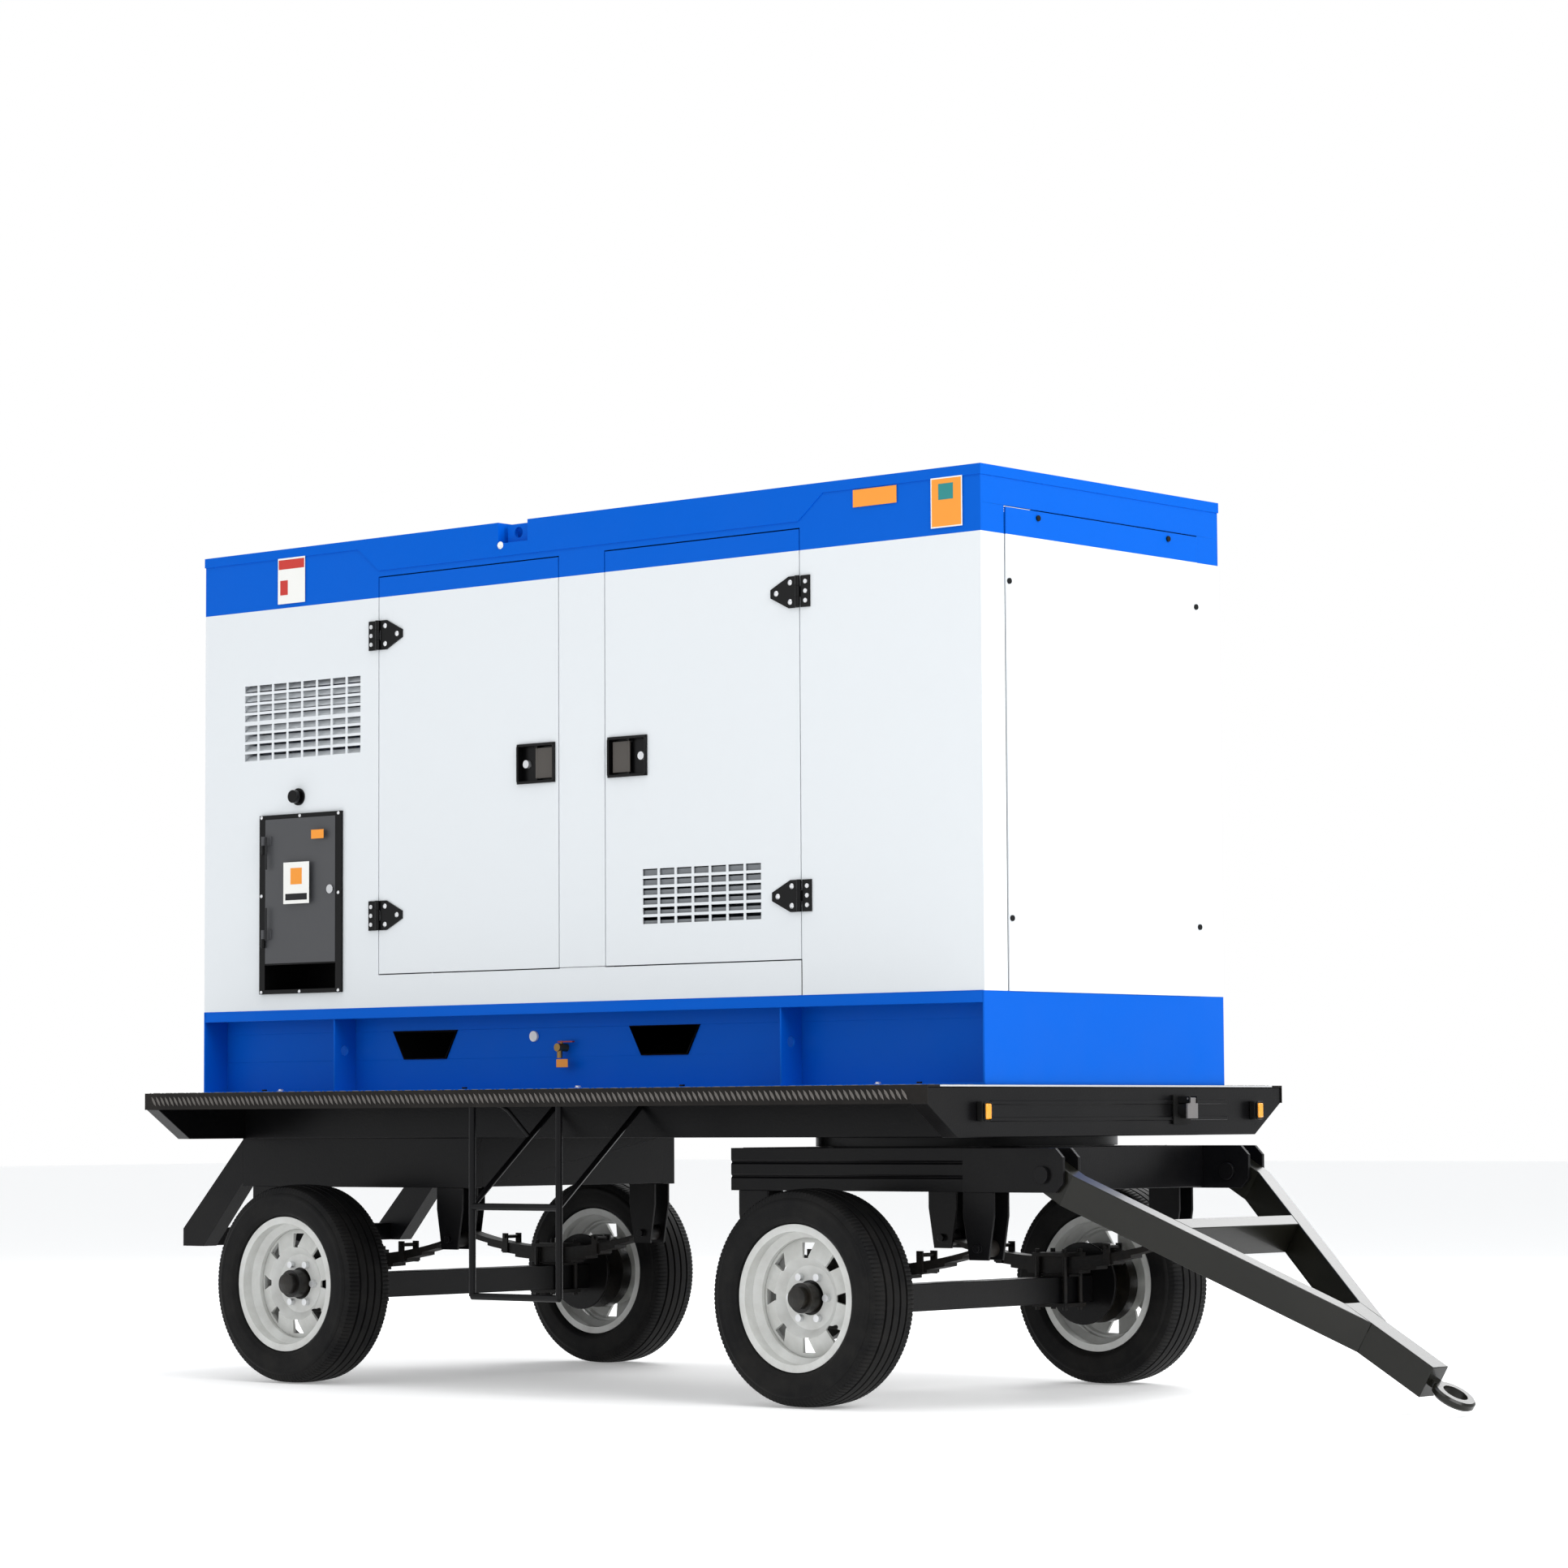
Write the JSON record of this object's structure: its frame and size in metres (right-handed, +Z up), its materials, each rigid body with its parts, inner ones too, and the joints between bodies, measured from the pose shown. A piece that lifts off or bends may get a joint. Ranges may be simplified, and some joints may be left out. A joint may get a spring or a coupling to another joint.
{
  "type": "towable diesel generator",
  "caption": "Sound-proofed diesel generating set on a skid base, carried by a flat turntable trailer with leaf springs, a fold-down drawbar, hinged service doors and an outlet box.",
  "frame": {"origin": "on the ground under the middle of the whole trailer", "axes": "+X towards the drawbar, +Y to the side away from the outlet box, +Z up"},
  "size_m": [4.8902, 1.806, 2.797],
  "materials": {
    "canopy_white": "satin white powder coat",
    "canopy_blue": "glossy blue paint",
    "end_white": "satin white powder coat",
    "black_hardware": "glossy black",
    "box_grey": "dark grey coat",
    "chassis_black": "semi-gloss black paint",
    "drawbar_black": "semi-gloss black paint",
    "deck_brown": "checker plate, dark brown black",
    "spring_steel": "dull black",
    "axle_black": "black paint",
    "tyre_rubber": "black rubber",
    "wheel_white": "white wheel paint",
    "amber": "clear amber plastic",
    "lamp_black": "black plastic",
    "lid_grey": "grey plastic",
    "valve_brass": "dull brass",
    "lever_red": "red coated lever",
    "tank_dark": "black tank, taken at the weight of its fuel",
    "tunnel_black": "black",
    "engine_green": "grey engine paint",
    "alternator_grey": "grey paint",
    "radiator_black": "black core",
    "fan_plastic": "black nylon",
    "silencer_alu": "aluminised steel",
    "battery_black": "black case",
    "lock_chrome": "chrome",
    "bolt_black": "black screws",
    "stop_black": "black mushroom"
  },
  "bodies": {
    "chassis": {"deck_plate": "deck_brown", "deck_frame": "chassis_black", "rear_subframe": "chassis_black", "rear_bumper": "chassis_black", "step_ladder": "chassis_black", "marker_lamp_cases": "lamp_black", "marker_lamp_lenses": "amber", "socket_holder": "lamp_black", "upper_slew_ring": "chassis_black", "rear_axle": "axle_black", "rear_leaf_springs": "spring_steel", "skid_base": "canopy_blue", "fork_tunnels": "tunnel_black", "fuel_tank": "tank_dark", "drain_valve": "valve_brass", "canopy_shell": "canopy_white", "canopy_roof": "canopy_blue", "end_panels": "end_white", "vent_grille": "canopy_white", "panel_bolts": "bolt_black", "hinge_leaves": "black_hardware", "outlet_box": "black_hardware", "outlet_sockets": "lamp_black", "engine_block": "engine_green", "alternator": "alternator_grey", "radiator": "radiator_black", "silencer": "silencer_alu", "battery": "battery_black"},
    "bogie": {"lower_slew_ring": "chassis_black", "bogie_frame": "chassis_black", "front_axle": "axle_black", "front_leaf_springs": "spring_steel"},
    "drawbar": {"drawbar_frame": "drawbar_black", "towing_eye": "drawbar_black"},
    "wheel_body_front_right": {"tyre_front_right": "tyre_rubber", "wheel_front_right": "wheel_white"},
    "wheel_body_front_left": {"tyre_front_left": "tyre_rubber", "wheel_front_left": "wheel_white"},
    "wheel_body_rear_right": {"tyre_rear_right": "tyre_rubber", "wheel_rear_right": "wheel_white"},
    "wheel_body_rear_left": {"tyre_rear_left": "tyre_rubber", "wheel_rear_left": "wheel_white"},
    "door_body_rear_right": {"door_rear_right": "canopy_white", "door_fittings_rear_right": "black_hardware"},
    "paddle_body_rear_right": {"latch_paddle_rear_right": "black_hardware"},
    "door_body_front_right": {"door_front_right": "canopy_white", "door_fittings_front_right": "black_hardware"},
    "paddle_body_front_right": {"latch_paddle_front_right": "black_hardware"},
    "door_body_rear_left": {"door_rear_left": "canopy_white", "door_fittings_rear_left": "black_hardware"},
    "paddle_body_rear_left": {"latch_paddle_rear_left": "black_hardware"},
    "door_body_front_left": {"door_front_left": "canopy_white", "door_fittings_front_left": "black_hardware"},
    "paddle_body_front_left": {"latch_paddle_front_left": "black_hardware"},
    "outlet_door": {"box_door": "box_grey"},
    "cam_lock": {"box_lock": "lock_chrome"},
    "stop_button": {"emergency_stop": "stop_black"},
    "valve_lever": {"drain_lever": "lever_red"},
    "fan": {"cooling_fan": "fan_plastic"},
    "lid": {"socket_lid": "lid_grey"}
  },
  "joints": [
    {"name": "steer", "type": "hinge", "parent": "chassis", "child": "bogie", "pos_m": [0.62193, 0, 0.784], "axis": [0, 0, 1], "range_deg": [-45, 45]},
    {"name": "drawbar_lift", "type": "hinge", "parent": "bogie", "child": "drawbar", "pos_m": [1.31193, 0, 0.689], "axis": [0, -1, 0], "range_deg": [0, 45]},
    {"name": "roll_front_right", "type": "hinge", "parent": "bogie", "child": "wheel_body_front_right", "pos_m": [0.62193, -0.745, 0.325], "axis": [0, 1, 0], "continuous": true},
    {"name": "roll_front_left", "type": "hinge", "parent": "bogie", "child": "wheel_body_front_left", "pos_m": [0.62193, 0.745, 0.325], "axis": [0, 1, 0], "continuous": true},
    {"name": "roll_rear_right", "type": "hinge", "parent": "chassis", "child": "wheel_body_rear_right", "pos_m": [-1.58607, -0.745, 0.325], "axis": [0, 1, 0], "continuous": true},
    {"name": "roll_rear_left", "type": "hinge", "parent": "chassis", "child": "wheel_body_rear_left", "pos_m": [-1.58607, 0.745, 0.325], "axis": [0, 1, 0], "continuous": true},
    {"name": "door_swing_rear_right", "type": "hinge", "parent": "chassis", "child": "door_body_rear_right", "pos_m": [-1.37007, -0.6155, 2.0025], "axis": [0, 0, -1], "range_deg": [0, 120]},
    {"name": "paddle_pull_rear_right", "type": "hinge", "parent": "door_body_rear_right", "child": "paddle_body_rear_right", "pos_m": [-0.64907, -0.603, 2.002], "axis": [0, 0, -1], "range_deg": [0, 35], "stiffness_Nm_per_rad": 0.6, "springref_deg": -5.73},
    {"name": "door_swing_front_right", "type": "hinge", "parent": "chassis", "child": "door_body_front_right", "pos_m": [0.46593, -0.6155, 2.0025], "axis": [0, 0, 1], "range_deg": [0, 120]},
    {"name": "paddle_pull_front_right", "type": "hinge", "parent": "door_body_front_right", "child": "paddle_body_front_right", "pos_m": [-0.24707, -0.603, 2.002], "axis": [0, 0, 1], "range_deg": [0, 35], "stiffness_Nm_per_rad": 0.6, "springref_deg": -5.73},
    {"name": "door_swing_rear_left", "type": "hinge", "parent": "chassis", "child": "door_body_rear_left", "pos_m": [-1.37007, 0.6155, 2.0025], "axis": [0, 0, 1], "range_deg": [0, 120]},
    {"name": "paddle_pull_rear_left", "type": "hinge", "parent": "door_body_rear_left", "child": "paddle_body_rear_left", "pos_m": [-0.64907, 0.603, 2.002], "axis": [0, 0, 1], "range_deg": [0, 35], "stiffness_Nm_per_rad": 0.6, "springref_deg": -5.73},
    {"name": "door_swing_front_left", "type": "hinge", "parent": "chassis", "child": "door_body_front_left", "pos_m": [0.46593, 0.6155, 2.0025], "axis": [0, 0, -1], "range_deg": [0, 120]},
    {"name": "paddle_pull_front_left", "type": "hinge", "parent": "door_body_front_left", "child": "paddle_body_front_left", "pos_m": [-0.24707, 0.603, 2.002], "axis": [0, 0, -1], "range_deg": [0, 35], "stiffness_Nm_per_rad": 0.6, "springref_deg": -5.73},
    {"name": "box_door_swing", "type": "hinge", "parent": "chassis", "child": "outlet_door", "pos_m": [-1.91307, -0.6245, 1.6325], "axis": [0, 0, -1], "range_deg": [0, 120]},
    {"name": "box_lock_turn", "type": "hinge", "parent": "outlet_door", "child": "cam_lock", "pos_m": [-1.58907, -0.613, 1.6325], "axis": [0, 1, 0], "range_deg": [0, 90]},
    {"name": "stop_press", "type": "slide", "parent": "chassis", "child": "stop_button", "axis": [0, 1, 0], "range_m": [0, 0.006], "stiffness_N_per_m": 800, "springref_m": -0.004},
    {"name": "drain_turn", "type": "hinge", "parent": "chassis", "child": "valve_lever", "pos_m": [-0.61507, -0.527, 1.108], "axis": [0, 0, -1], "range_deg": [0, 90]},
    {"name": "fan_spin", "type": "hinge", "parent": "chassis", "child": "fan", "pos_m": [0.50493, 0, 1.652], "axis": [1, 0, 0], "continuous": true},
    {"name": "socket_lid_lift", "type": "hinge", "parent": "chassis", "child": "lid", "pos_m": [1.23393, 0.35, 0.913], "axis": [0, -1, 0], "range_deg": [0, 110], "stiffness_Nm_per_rad": 0.12, "springref_deg": -17.19}
  ]
}
